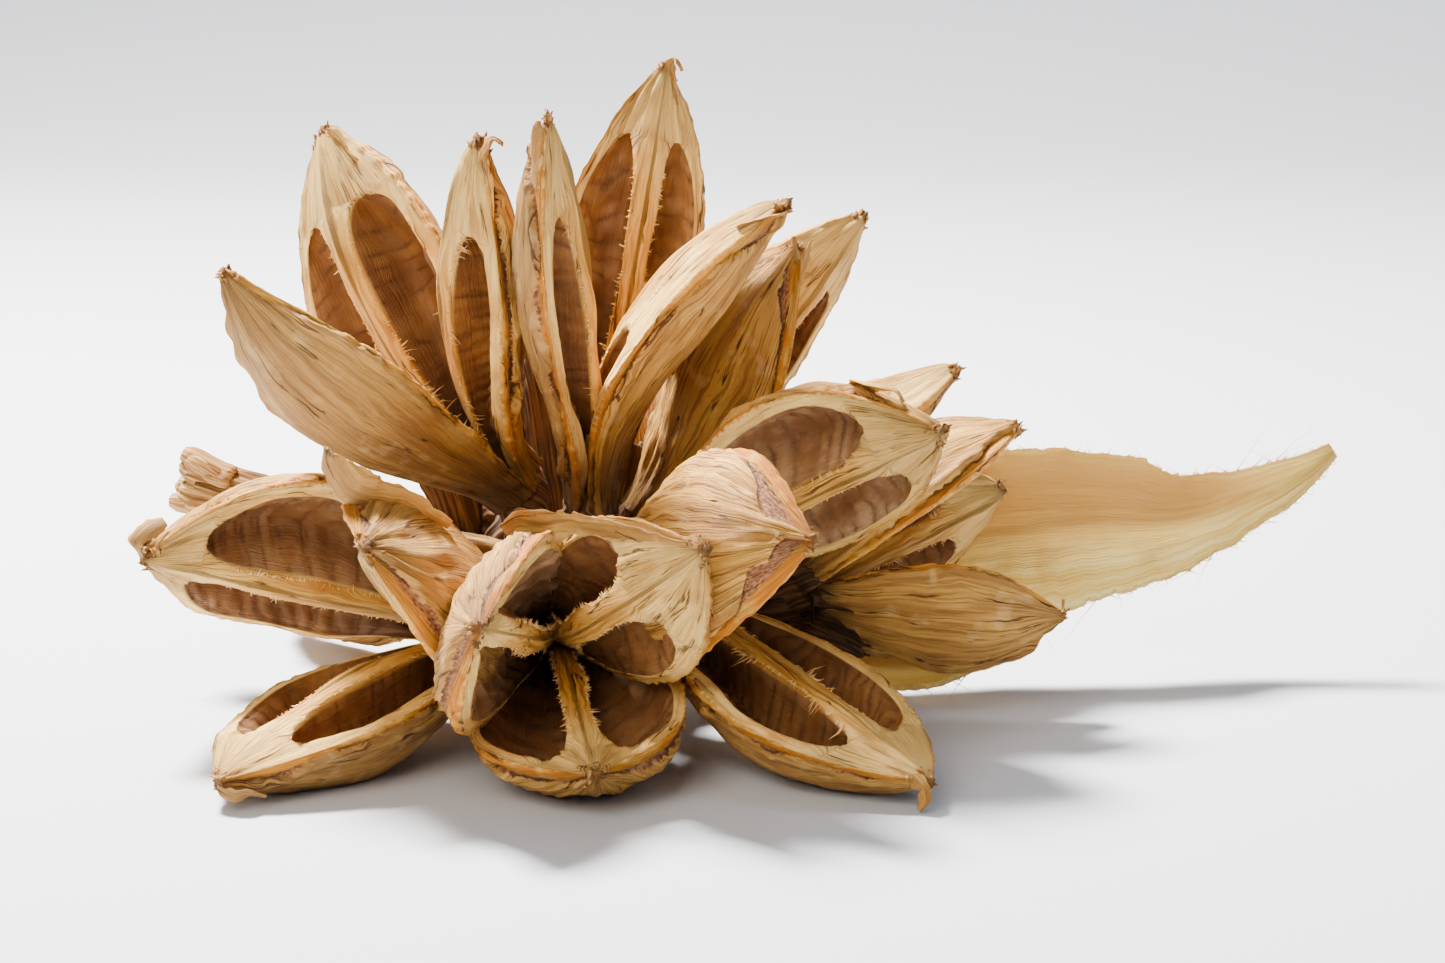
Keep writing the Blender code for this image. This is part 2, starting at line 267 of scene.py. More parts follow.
def half_section(depth, width, opening, opened, wobble):
    """Half of every section, from the middle of the back round the rim to the septum's middle.

    Returns x, out of the capsule, y, across it, and how deep in the chamber each point lies.
    """
    step = np.linspace(0, 1, OUTER_STEPS + 1)
    angle = opened * (1 - (1 - step) ** 1.45)
    x = [depth * np.cos(angle)]
    y = [width * np.sin(angle)]
    rim_x, rim_y = depth * math.cos(opened), width * math.sin(opened)
    edge_y = np.minimum(SEPTUM_EDGE_HALF, 0.4 * rim_y)
    face = np.hypot(rim_x, rim_y - edge_y)
    mouth = np.maximum(opening, 0.08)
    lip = mixed(0.58, np.minimum(LIP / face, 0.45), mouth**0.6) * (1 + 0.2 * wobble)
    foot = mixed(0.62, 0.97, mouth)

    def on_face(share):
        return rim_x * (1 - share), mixed(rim_y, edge_y, share)

    face_x, face_y = on_face(lip * np.linspace(0, 1, FACE_STEPS + 1)[1:])
    x.append(face_x)
    y.append(face_y)

    wall = np.minimum(WALL, 0.4 * depth)
    inner_depth, inner_width = depth - wall, width - wall
    side = np.minimum(SEPTUM_HALF, 0.3 * inner_width)
    near_septum = np.arcsin(np.minimum(1, side / inner_width)) + 0.12
    c = np.linspace(0, 1, CHAMBER_STEPS + 2)[1:-1]
    round_share = np.clip((c - 0.2) / 0.62, 0, 1)
    turn = mixed(opened * 0.9, near_septum, round_share)
    hollow_x, hollow_y = inner_depth * np.cos(turn), inner_width * np.sin(turn)
    hollow_y = mixed(hollow_y, np.maximum(side, hollow_y * 0.6), ramp(c, 0.7, 0.85))
    flat_x, flat_y = on_face(mixed(lip, foot, c))
    sink = np.minimum(ramp(c, -0.02, 0.24), ramp(1.02 - c, 0, 0.22))
    wall_x, wall_y = on_face(np.where(c < 0.5, lip, foot))
    sunk = opening**0.6
    along_wall_x, along_wall_y = mixed(wall_x, hollow_x, sink), mixed(wall_y, hollow_y, sink)
    x.append(mixed(flat_x, along_wall_x, sunk))
    y.append(mixed(flat_y, along_wall_y, sunk))

    foot_x, foot_y = on_face(mixed(foot, 1, np.linspace(0, 1, FOOT_STEPS)))
    x.append(foot_x)
    y.append(foot_y)
    across = np.linspace(1, 0, SEPTUM_STEPS + 1)[1:]
    x.append(np.zeros_like(edge_y * across) - 0.5 * (1 - across**2) * np.minimum(1, edge_y))
    y.append(edge_y * across)
    count = [part.shape[1] for part in x]
    deep = np.zeros((len(depth), sum(count)))
    first = count[0] + count[1]
    deep[:, first:first + count[2]] = sink * sunk
    return np.concatenate(x, 1), np.concatenate(y, 1), deep


def valve_grid(capsule, valve, seed, look, fineness=1.0):
    """Points and shading values of one valve."""
    stations = int(STATIONS * fineness)
    share = np.linspace(0, 1, stations)[:, None]
    length = math.dist(valve.tip, capsule.base)
    along = share * length
    size = bulge(share)
    opening = chamber_opening(share, look)
    opened = math.radians(valve.opened)
    depth, width = valve.width * valve.depth_ratio * size, valve.width * size
    halves = []
    for hand in (0, 1):
        wobble = noise(along / 9, 0.5 + 20 * hand, seed + 3)
        halves.append(half_section(depth, width, opening, opened, wobble))
    (x0, y0, deep0), (x1, y1, deep1) = halves
    back = slice(1, -1)
    x = np.concatenate([x0, x1[:, back][:, ::-1]], 1)
    sway = [1 + 0.05 * noise(along / 17, 3.3 * hand, seed + 51) * ramp(share, 0.1, 0.4) for hand in (0, 1)]
    y = np.concatenate([y0 * sway[0], -y1[:, back][:, ::-1] * sway[1]], 1)
    deep = np.concatenate([deep0, deep1[:, back][:, ::-1]], 1)
    half = x0.shape[1]
    rim = OUTER_STEPS
    ring = x.shape[1]
    number = np.arange(ring)
    folded = np.where(number < half, number, ring - number)
    hand = np.where(number < half, 0, 1)[None, :]

    # Distance along the section from the rim: below zero outside, above zero on the face.
    gap = np.hypot(np.diff(x0, axis=1), np.diff(y0, axis=1))
    walked = np.concatenate([np.zeros((stations, 1)), np.cumsum(gap, 1)], 1)
    from_rim = (walked - walked[:, rim:rim + 1])[:, folded]

    # The same, stretched to the widest section, so that the grain runs from base to tip.
    back_width = walked[:, rim:rim + 1]
    face_width = walked[:, -1:] - back_width
    across = np.minimum(walked, back_width) / back_width * back_width.max()
    across += np.maximum(walked - back_width, 0) / face_width * face_width.max()
    across = np.where(hand == 0, 1, -1) * across[:, folded]

    local = bent(x, y, share, length, math.radians(valve.bend))
    out, side, chord = valve_axes(capsule, valve)
    points = local @ np.stack([out, side, chord]) + np.array(capsule.base)

    peel = look.peel * (1 + 0.55 * fractal(along / 11, hand * 7.3, seed + 11, 3))
    peel = peel + look.tip_peel * ramp(share, 0.8, 0.97) * (1 + 0.5 * noise(along / 4, hand * 3.1, seed + 13))
    peel = peel + 0.35 * noise(along / 1.3, hand * 5.7, seed + 17)
    skin = np.where(from_rim < 0, -from_rim - peel * np.minimum(1, size * 2), -4 - from_rim)

    fold = along / look.fold + 0.8 * fractal(along / 13, folded / 6 + hand * 9, seed + 23, 2)
    pillow = np.abs(np.sin(np.pi * fold)) ** 0.7
    skin_on = ramp(skin, -0.25, 0.35)
    outside = ramp(-from_rim, 0, 2)
    face_on = ramp(from_rim, 0.3, 1.5) * (1 - np.minimum(deep * 5, 1))

    height = 0.6 * skin_on
    lift = np.exp(-((skin - 1.0) / 1.2) ** 2) * ramp(skin, 0, 0.3)
    height += lift * 1.3 * np.maximum(fractal(along / 7, hand * 4.2, seed + 29, 2) + 0.25, 0)
    height += skin_on * look.crumple * fractal(along / 15, across / 6, seed + 31, 3)
    height += skin_on * 0.5 * look.crumple * np.sin(across * 2.2 + 4 * noise(along / 14, across / 10, seed + 37))
    height += 0.45 * np.exp(-((from_rim + 0.5) / 0.9) ** 2) * ramp(size, 0.12, 0.4)
    height += -0.7 * np.exp(-((from_rim + peel * 0.85) / 0.6) ** 2) * outside * ramp(size, 0.2, 0.5)
    height += 0.5 * np.exp(-(deep / 0.09) ** 2) * ramp(from_rim, 1.5, 3) * opening
    height += 0.3 * noise(along / 1.7, hand * 6.1, seed + 53) * np.exp(-((from_rim + 0.3) / 1.4) ** 2)
    height += face_on * 0.35 * fractal(along / 14, across / 3.5, seed + 41, 2)
    height += face_on * 0.7 * np.exp(-(np.abs(y) / 1.6) ** 2) * ramp(share, 0.6, 0.85) * ramp(size, 0.1, 0.3)
    height += deep * (1.1 * pillow - 0.55) * look.folds
    height += deep * 0.7 * fractal(along / 7, folded / 3.0, seed + 43, 3)
    height += 0.8 * fractal(along / 24, across / 22, seed + 47, 2) * ramp(size, 0.2, 0.6)

    normal = unit(np.cross(np.gradient(points, axis=0), np.roll(points, -1, 1) - np.roll(points, 1, 1)))
    middle = points[:, :half].mean(1, keepdims=True)
    if np.sum(normal[:, 0] * (points[:, 0] - middle[:, 0])) < 0:
        normal = -normal
    points = points + normal * height[..., None]

    tall = np.broadcast_to(along, x.shape)
    tint = np.full(x.shape, seed * 0.37)
    return {
        "points": place(points),
        "grain": np.stack([tall, across, tint], -1),
        "zones": np.stack([skin, from_rim, deep], -1),
        "marks": np.stack([np.abs(y) + np.abs(x) * 0.5, np.broadcast_to(share, x.shape), fold], -1),
        "hues": np.broadcast_to((look.orange, look.brown, look.pink_and_lit), (*x.shape, 3)),
        "normal": normal,
        "raw": points,
        "half": half,
        "size": size,
    }


@dataclass
class Look:
    """How a valve has weathered. Lengths in millimetres."""

    peel: float = 2.6       # width of the bared band along the rim
    tip_peel: float = 1.5   # how much wider the band is near the tip
    crumple: float = 0.4    # height of the creases in the skin
    shag: float = 0.5       # length of the longest hairs on the septum
    mouth: float = CHAMBER_END
    fold: float = 4.6       # length of one fold in the chambers
    folds: float = 0.5      # strength of those folds
    orange: float = 0.6     # how orange the bared band is, from 0 to 1
    brown: float = 0.3      # how pink the chambers' lining is, and how far their walls are made paler as painted light
    pink_and_lit: float = 0.2       # how pink the chambers are
    start: float = CHAMBER_START
    round: float = CHAMBER_ROUND


LOOKS = {
    ("capsule_top_left", 0): Look(1.4, 2, 0.3, 2.0, 0.78, 5.5, 0.35, 0.15, 0.3, 0.1),
    ("capsule_top_left", 1): Look(0.9, 2, 0.25, orange=0.25, brown=0.75),
    ("capsule_top_left", 2): Look(2.6, 3, 0.4, 2.0, 0.77, 3.4, 1.3, 0.45, 0.3, 0.0, round=0.3),
    ("capsule_top", 0): Look(1.8, 2, 0.3, 0.9, 0.83, 6, 0.3, 0.2, 0.2, 0.2),
    ("capsule_top", 1): Look(2.6, 6, 0.5, 0.9, 0.78, 4, 0.9, 0.8, 0.85, 0.1, round=0.35),
    ("capsule_top", 2): Look(1.4, 5, 0.3, 0.3, 0.5, orange=0.7, brown=0.15),
    ("capsule_top_right", 0): Look(1.6, 2, 0.4, 0.4, orange=0.3, brown=0.5),
    ("capsule_top_right", 1): Look(2.8, 3, 0.5, 0.4, orange=0.9, brown=0.35),
    ("capsule_right", 0): Look(2.6, 2, 0.5, 0.5, 0.80, 4.2, 0.8, 0.8, 0.3, 0.7),
    ("capsule_right", 1): Look(3.2, 8, 0.7, 0.4, orange=1.0, brown=0.0),
    ("capsule_right", 2): Look(2.8, 1, 0.4, 2.4, 0.80, 3.6, 1.0, 0.8, 0.6, 0.1),
    ("capsule_front", 0): Look(2.2, 1.5, 0.6, 0.6, 0.72, 5, 0.5, 0.9, 0.3, 0.1, 0.22, 0.2),
    ("capsule_front", 1): Look(5.0, 2, 0.7, 0.5, 0.93, 7, 1.4, 1.0, 0.45, 0.9, 0.1, 0.2),
    ("capsule_front", 2): Look(3.0, 2, 0.7, 0.6, 0.86, 6, 0.5, 0.9, 0.35, 0.2),
    ("capsule_left", 0): Look(1.8, 2, 0.4, 0.6, 0.85, 5.0, 1.0, 0.6, 0.3, 0.3),
    ("capsule_left", 1): Look(3.4, 4, 0.7, 0.4, orange=0.7, brown=0.6),
    ("capsule_left", 2): Look(2.0, 3, 0.4, 0.8, 0.82, 4.5, 0.5, 0.7, 0.8, 0.1),
    ("capsule_far_right", 0): Look(1.6, 2, 0.4, 0.5, 0.72, 4, 0.5, 0.7, 0.2, 0.4),
    ("capsule_far_right", 1): Look(1.2, 2, 0.3, 0.5, 0.74, 4, 0.4, 0.5, 0.1, 0.5),
    ("capsule_far_right", 2): Look(1.0, 1, 0.3, 0.4, orange=0.5, brown=0.45),
}


def needles(roots, directions, lengths, radii, name_grids, bends):
    """Adds tapering three-sided fibres to a list of grids."""
    for root, direction, length, radius, bend in zip(roots, directions, lengths, radii, bends):
        steps = np.linspace(0, 1, 3)[:, None]
        spine = root + direction * length * steps + bend * length * steps**2
        side = unit(np.cross(direction, (0.3, 0.5, 0.8)))
        up = np.cross(direction, side)
        taper = radius * (1 - 0.85 * steps[:, 0])
        turn = 2 * np.pi * np.arange(3) / 3
        ring = np.cos(turn)[:, None] * side + np.sin(turn)[:, None] * up
        points = spine[:, None, :] + taper[:, None, None] * ring[None]
        name_grids.append(points)


def fringe(grid, seed, count, shag, fibres):
    """Short hairs along both edges of the septum."""
    rng = np.random.default_rng(seed)
    raw, half = grid["raw"], grid["half"]
    stations = raw.shape[0]
    ring = raw.shape[1]
    foot = half - SEPTUM_STEPS - FOOT_STEPS
    for hand in (0, 1):
        column = foot if hand == 0 else ring - foot
        inward = foot - 4 if hand == 0 else ring - foot + 4
        rows = rng.uniform(0.16, 0.76, count) * stations
        thick = ramp(noise(rows / 9, hand * 4.0, seed + 5), -0.3, 0.5)
        rows = rows.astype(int)
        root = raw[rows, column]
        towards = unit(raw[rows, column] - raw[rows, half - 1])
        direction = unit(towards + 0.35 * rng.normal(size=root.shape))
        length = 0.6 + rng.uniform(0.3, 1.0, count) * (0.5 + 1.4 * shag * thick)
        needles(root - direction * 0.5, direction, length, rng.uniform(0.16, 0.4, count), fibres,
                0.25 * rng.normal(size=root.shape))


def torn_tip(grid, chord, seed, shreds):
    """Short stubby shreds round a valve's tip."""
    rng = np.random.default_rng(seed)
    count = 14
    last = grid["raw"][-6:-1]
    root = last[rng.integers(0, 5, count), rng.integers(0, last.shape[1], count)]
    away = unit(root - last.mean((0, 1)))
    direction = unit(chord + 0.4 * away + 0.3 * rng.normal(size=root.shape))
    length = rng.uniform(1.2, 2.2, count)
    needles(root - direction * 0.6, direction, length, rng.uniform(0.7, 1.1, count), shreds,
            0.2 * rng.normal(size=root.shape))


def capsule_piece(name, capsule, order):
    """All the valves of one capsule, with their torn tips, the fringes on their septa and the stalk."""
    grids, fibres, shreds = [], [], []
    fineness = 0.5 if "back" in name else 1.0
    for number, valve in enumerate(capsule.valves):
        seed = 100 * order + 10 * number
        look = LOOKS.get((name, number), Look())
        grid = valve_grid(capsule, valve, seed, look, fineness)
        grids.append(grid)
        fringe(grid, seed + 7, int(75 * fineness), look.shag, fibres)
        torn_tip(grid, valve_axes(capsule, valve)[2], seed + 9, shreds)
    made = grid_mesh(grids, name + "_valves", ("grain", "zones", "marks", "hues"))
    finish(made, name, VALVE)
    stalk = grid_mesh([stalk_grid(capsule, 10 * order)], name + "_stalk", ("grain",))
    finish(stalk, name, SHADED_STALK)
    hairs = grid_mesh([{"points": place(points)} for points in fibres], name + "_fringe")
    finish(hairs, name, FIBRE)
    crumbs = grid_mesh([{"points": place(points)} for points in shreds], name + "_tips")
    finish(crumbs, name, CRUMB)


def stalk_grid(capsule, seed):
    """The stalk from the stem to a knob inside the roots of the valves."""
    base = np.array(capsule.base, float)
    axis = unit(sum(unit(np.array(valve.tip) - base) for valve in capsule.valves))
    line = smooth_line([point for point, _ in STEM_LINE], 3)
    root = min(line, key=lambda point: np.linalg.norm(point - base))
    knob = [(*(base + axis * reach), radius) for reach, radius in PEDICEL_KNOB]
    middle = mixed(root, np.array(knob[0][:3]), 0.5)
    fine = smooth_line([(*root, PEDICEL_RADIUS * 1.3), (*middle, PEDICEL_RADIUS), *knob], 10)
    return tube_grid(fine[:, :3], fine[:, 3], 36, seed, 0.05, 7)


def finish(made, node, surface):
    made.data.materials.append(surface)
    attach(made, "root")
    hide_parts(node)


# Materials.

def tone(red, green, blue):
    """A colour given as 0 to 255 on screen, as the shader's linear values."""
    return tuple(((c / 255 + 0.055) / 1.055) ** 2.4 for c in (red, green, blue)) + (1,)


class Shader:
    """A Principled material and short ways to add nodes to it."""

    def __init__(self, name, roughness):
        self.made = bpy.data.materials.new(name)
        self.made.use_nodes = True
        self.nodes = self.made.node_tree.nodes
        self.links = self.made.node_tree.links
        self.surface = self.nodes["Principled BSDF"]
        self.surface.inputs["Roughness"].default_value = roughness
        self.surface.inputs["Specular IOR Level"].default_value = 0.25

    def add(self, kind, inputs=(), **settings):
        node = self.nodes.new(kind)
        for key, value in settings.items():
            setattr(node, key, value)
        for key, value in dict(inputs).items():
            self.put(node.inputs[key], value)
        return node

    def put(self, socket, value):
        if isinstance(value, bpy.types.NodeSocket):
            self.links.new(value, socket)
        else:
            socket.default_value = value

    def math(self, operation, a, b=0.0, c=0.0):
        node = self.add("ShaderNodeMath", operation=operation)
        for socket, value in zip(node.inputs, (a, b, c)):
            self.put(socket, value)
        return node.outputs[0]

    def split(self, attribute):
        source = self.add("ShaderNodeAttribute", attribute_name=attribute)
        return self.add("ShaderNodeSeparateXYZ", {"Vector": source.outputs["Vector"]}).outputs

    def join(self, x, y, z):
        return self.add("ShaderNodeCombineXYZ", {"X": x, "Y": y, "Z": z}).outputs[0]

    def noise(self, vector, scale, detail=3.0, distortion=0.0):
        return self.add("ShaderNodeTexNoise", {
            "Vector": vector, "Scale": scale, "Detail": detail, "Distortion": distortion}).outputs["Fac"]

    def step(self, value, low, high):
        node = self.add("ShaderNodeMapRange", {"Value": value, "From Min": low, "From Max": high},
                        interpolation_type="SMOOTHSTEP")
        return node.outputs[0]

    def mix(self, share, a, b, blend="MIX"):
        node = self.add("ShaderNodeMix", data_type="RGBA", blend_type=blend)
        self.put(node.inputs[0], share)
        self.put(node.inputs[6], a)
        self.put(node.inputs[7], b)
        return node.outputs[2]

    def bump(self, height, distance, strength=1.0, under=None):
        node = self.add("ShaderNodeBump", {"Height": height, "Distance": distance, "Strength": strength})
        if under is not None:
            self.put(node.inputs["Normal"], under)
        return node.outputs[0]

    def done(self, color, normal):
        self.put(self.surface.inputs["Base Color"], color)
        self.put(self.surface.inputs["Normal"], normal)
        return self.made


def valve_material():
    s = Shader("valve", 0.68)
    along, across, tint = s.split("grain")
    skin, from_rim, deep = s.split("zones")
    septum, share, fold = s.split("marks")
    orange, brown, pink_and_lit = s.split("hues")
    wander = s.noise(s.join(s.math("MULTIPLY", along, 0.1), s.math("MULTIPLY", across, 0.12), tint), 1.0, 2)
    shifted = s.math("ADD", across, s.math("MULTIPLY", wander, 3.0))
    fibre = s.noise(s.join(s.math("MULTIPLY", along, 0.05), shifted, tint), 1.2, 4)
    thread = s.noise(s.join(s.math("MULTIPLY", along, 0.12), shifted, tint), 4.6, 2)
    coarse = s.noise(s.join(s.math("MULTIPLY", along, 0.03), s.math("MULTIPLY", shifted, 0.3), tint), 1.0, 3)
    blotch = s.noise(s.join(along, across, tint), 0.09, 4)
    patch = s.noise(s.join(across, tint, along), 0.16, 3)
    speck = s.noise(s.join(along, across, tint), 1.1, 3)

    light_skin = s.mix(brown, tone(230, 172, 76), tone(168, 126, 68))
    dark_skin = s.mix(brown, tone(186, 130, 58), tone(128, 92, 50))
    skin_color = s.mix(s.step(coarse, 0.35, 0.68), light_skin, dark_skin)
    lines = s.math("MULTIPLY", s.step(fibre, 0.49, 0.6), s.step(brown, 1.6, -0.6))
    skin_color = s.mix(lines, skin_color, s.mix(brown, tone(130, 80, 24), tone(92, 60, 26)))
    skin_color = s.mix(s.math("MULTIPLY", s.step(blotch, 0.52, 0.72), 0.5), skin_color, dark_skin)
    skin_color = s.mix(s.math("MULTIPLY", s.step(patch, 0.56, 0.7), 0.22), skin_color, tone(244, 204, 130))

    band = s.mix(s.step(speck, 0.35, 0.65), tone(112, 64, 38), tone(178, 124, 80))
    bright = s.mix(s.step(fibre, 0.35, 0.65), tone(174, 94, 4), tone(202, 126, 8))
    plain = s.mix(s.step(fibre, 0.35, 0.65), tone(184, 126, 42), tone(220, 166, 68))
    bright = s.mix(s.math("MULTIPLY", orange, s.step(patch, 0.35, 0.5)), plain, bright)
    ragged = s.math("MULTIPLY", s.math("SUBTRACT", speck, 0.5), 2.2)
    bare = s.mix(s.step(s.math("ADD", from_rim, ragged), -3.4, -2.2), band, bright)

    face = s.mix(s.step(fibre, 0.35, 0.72), tone(252, 210, 122), tone(226, 168, 80))
    face = s.mix(s.math("MULTIPLY", s.step(blotch, 0.48, 0.68), 0.6), face, tone(198, 130, 50))
    face = s.mix(s.step(s.math("ADD", from_rim, ragged), 0.7, -0.3), face, bright)
    middle = s.mix(s.step(fibre, 0.3, 0.7), tone(230, 174, 78), tone(178, 116, 40))
    face = s.mix(s.math("MULTIPLY", s.step(septum, 4.0, 3.0), s.step(share, 0.9, 0.6)), face, middle)

    wall = s.mix(s.step(blotch, 0.35, 0.65), tone(108, 65, 25), tone(144, 94, 42))
    # Pink lining, partly real: its pale tones also stand as painted light on the walls of valves whose chambers
    # face the light.
    wall = s.mix(pink_and_lit, wall, s.mix(s.step(patch, 0.35, 0.65), tone(176, 128, 84), tone(220, 176, 128)))
    wall = s.mix(s.math("MULTIPLY", s.step(thread, 0.5, 0.7), 0.15), wall, tone(100, 60, 24))
    # Painted shade: the chamber walls darken towards the valve's base, deep in the narrowing chambers.
    wall = s.mix(s.step(share, 0.5, 0.15), wall, tone(88, 52, 20))
    # Painted shade: the chamber walls darken along the troughs between their folds, strongly in patches.
    ridge = s.math("PINGPONG", s.math("ADD", fold, s.math("MULTIPLY", speck, 0.3)), 1.0)
    nearest = s.math("MINIMUM", ridge, s.math("SUBTRACT", 1.0, ridge))
    wall = s.mix(s.math("MULTIPLY", s.step(nearest, 0.5, 0.05), 0.2), wall, tone(98, 56, 22))
    painted_crease_shade = s.math("MULTIPLY", s.step(nearest, 0.2, 0.0), s.step(patch, 0.42, 0.6))
    wall = s.mix(s.math("MULTIPLY", painted_crease_shade, 0.55), wall, tone(72, 36, 12))

    inner = s.mix(s.step(deep, 0.02, 0.12), face, wall)
    inner = s.mix(s.step(from_rim, 0.0, -0.2), inner, bare)
    torn = s.math("ADD", skin, s.math("MULTIPLY", s.math("SUBTRACT", speck, 0.5), 0.9))
    color = s.mix(s.step(torn, -0.1, 0.1), inner, skin_color)
    # Painted shadow: a dark, patchy line on the bare face just off the torn skin's edge, where the lifted skin
    # shades it.
    gap = s.math("MULTIPLY", s.step(torn, -0.8, -0.1), s.step(torn, 0.15, -0.1))
    gap = s.math("MULTIPLY", gap, s.step(blotch, 0.4, 0.55))
    color = s.mix(s.math("MULTIPLY", gap, 0.85), color, tone(58, 30, 14))

    split = s.noise(s.join(s.math("MULTIPLY", along, 0.014), s.math("MULTIPLY", shifted, 0.2), tint), 1.0, 3)
    line = s.step(s.math("ABSOLUTE", s.math("SUBTRACT", split, 0.5)), 0.011, 0.003)
    line = s.math("MULTIPLY", line, s.step(blotch, 0.46, 0.56))
    line = s.math("MULTIPLY", line, s.step(deep, 0.1, 0.0))
    color = s.mix(s.math("MULTIPLY", line, 0.85), color, tone(72, 38, 16))
    # Painted shade: every valve darkens towards its base, where the valves crowd into the shaded middle of the
    # head.
    color = s.mix(s.math("MULTIPLY", s.step(share, 0.26, 0.06), 0.7), color, tone(72, 46, 20))
    end = s.math("MULTIPLY", s.step(s.math("ADD", share, s.math("MULTIPLY", speck, 0.08)), 1.0, 1.05), 0.8)
    color = s.mix(end, color, tone(120, 74, 36))

    height = s.math("ADD", s.math("MULTIPLY", fibre, 0.8), s.math("MULTIPLY", thread, 0.45))
    height = s.math("MULTIPLY", height, s.math("SUBTRACT", 1.0, s.math("MULTIPLY", deep, 0.75)))
    height = s.math("SUBTRACT", height, s.math("MULTIPLY", line, 1.2))
    return s.done(color, s.bump(height, 0.0010, 1.0))


def fibre_material(name, dark, light):
    s = Shader(name, 0.8)
    where = s.add("ShaderNodeTexCoord").outputs["Object"]
    color = s.mix(s.step(s.noise(where, 500.0), 0.35, 0.65), dark, light)
    return s.done(color, s.bump(s.noise(where, 1500.0), 0.0001))


def bract_material():
    s = Shader("bract", 0.6)
    s.surface.inputs["Subsurface Weight"].default_value = 0.15
    s.surface.inputs["Subsurface Radius"].default_value = (0.006, 0.004, 0.002)
    s.surface.inputs["Subsurface Scale"].default_value = 1.0
    along, across, tint = s.split("grain")
    from_edge, height, share = s.split("zones")
    wander = s.noise(s.join(s.math("MULTIPLY", along, 0.05), s.math("MULTIPLY", across, 0.05), tint), 1.0, 2)
    shifted = s.math("ADD", across, s.math("MULTIPLY", wander, 4.0))
    fibre = s.noise(s.join(s.math("MULTIPLY", along, 0.03), shifted, tint), 2.4, 5)
    coarse = s.noise(s.join(s.math("MULTIPLY", along, 0.02), s.math("MULTIPLY", shifted, 0.25), tint), 1.0, 3)
    speck = s.noise(s.join(along, across, tint), 0.8, 3)
    blotch = s.noise(s.join(along, across, tint), 0.06, 4)
    color = s.mix(s.step(coarse, 0.3, 0.7), tone(240, 194, 106), tone(255, 228, 152))
    color = s.mix(s.math("MULTIPLY", s.step(blotch, 0.48, 0.68), 0.5), color, tone(206, 150, 70))
    color = s.mix(s.math("MULTIPLY", s.step(fibre, 0.5, 0.72), 0.4), color, tone(186, 132, 62))
    # Painted shade: the upper half of the blade across is darkened for three quarters of its length, as if
    # shaded by its curled upper edge.
    painted_upper_shade = s.math("ADD", height, s.math("MULTIPLY", s.math("SUBTRACT", coarse, 0.5), 0.9))
    painted_upper_shade = s.math("MULTIPLY", s.step(painted_upper_shade, -0.45, 0.15), s.step(share, 1.0, 0.75))
    color = s.mix(s.math("MULTIPLY", painted_upper_shade, 0.9), color, tone(150, 112, 54))
    frayed = s.math("ADD", from_edge, s.math("MULTIPLY", s.math("SUBTRACT", speck, 0.5), 3.0))
    color = s.mix(s.math("MULTIPLY", s.step(frayed, 1.4, 0.2), 0.5), color, tone(170, 112, 48))
    return s.done(color, s.bump(fibre, 0.0006, 1.0))


def stem_material(name, light, dark):
    s = Shader(name, 0.85)
    along, across, tint = s.split("grain")
    fibre = s.noise(s.join(s.math("MULTIPLY", along, 0.05), across, tint), 1.3, 5)
    blotch = s.noise(s.join(along, across, tint), 0.12, 4)
    color = s.mix(s.step(fibre, 0.35, 0.6), light, dark)
    color = s.mix(s.math("MULTIPLY", s.step(blotch, 0.45, 0.7), 0.4), color, dark)
    return s.done(color, s.bump(fibre, 0.0008, 1.0))


VALVE = valve_material()
FIBRE = fibre_material("fibre", tone(208, 152, 78), tone(242, 200, 130))
CRUMB = fibre_material("crumb", tone(92, 58, 26), tone(186, 134, 72))
BRACT = bract_material()
STEM = stem_material("stem", tone(168, 124, 62), tone(98, 64, 28))
# The stalk colours are far darker than the stem's: painted shade for the shaded middle of the head, where this
# material also colours the dark strips.
SHADED_STALK = stem_material("stalk", tone(112, 76, 40), tone(54, 34, 16))
STEM_END = stem_material("stem_end", tone(204, 162, 100), tone(138, 96, 50))


# Stem, stalks and bracts.

STEM_LINE = (
    ((-126, 62, 44), 6.5),
    ((-104, 57, 38), 7.5),
    ((-80, 50, 31), 8.0),
    ((-56, 43, 26), 9.0),
    ((-32, 38, 23), 9.5),
    ((-10, 35, 21), 9.0),
    ((6, 33, 20), 6.5),
)
BRACTS = {
    "bract_large": (
        ((-4, 44, 24), 8, 60),
        ((20, 52, 27), 14, 60),
        ((52, 64, 31), 20, 50),
        ((87, 67, 34), 19, 45),
        ((114, 73, 34), 11, 45),
        ((139, 76, 43), 5.5, 60),
        ((150, 75, 50), 1.6, 60),
    ),
    "bract_small": (
        ((12, 38, 8), 3, 40),
        ((30, 38, 6), 6, 40),
        ((48, 38, 5), 6, 40),
        ((64, 36, 8), 1.5, 40),
    ),
}
BLADE_THICKNESS = 0.8


def smooth_line(knots, steps):
    """Catmull-Rom curve through knots of any width."""
    knots = np.asarray(knots, float)
    padded = np.concatenate([knots[:1], knots, knots[-1:]])
    t = (np.arange(steps) / steps)[:, None]
    parts = []
    for before, start, end, after in zip(padded, padded[1:], padded[2:], padded[3:]):
        parts.append(0.5 * (
            2 * start + (end - before) * t + (2 * before - 5 * start + 4 * end - after) * t**2
            + (3 * start - before - 3 * end + after) * t**3))
    return np.concatenate([*parts, knots[-1:]])


def directions(line):
    return unit(np.concatenate([line[1:2] - line[:1], line[2:] - line[:-2], line[-1:] - line[-2:-1]]))


def walked_along(line):
    return np.concatenate([[0], np.cumsum(np.linalg.norm(np.diff(line, axis=0), axis=1))])


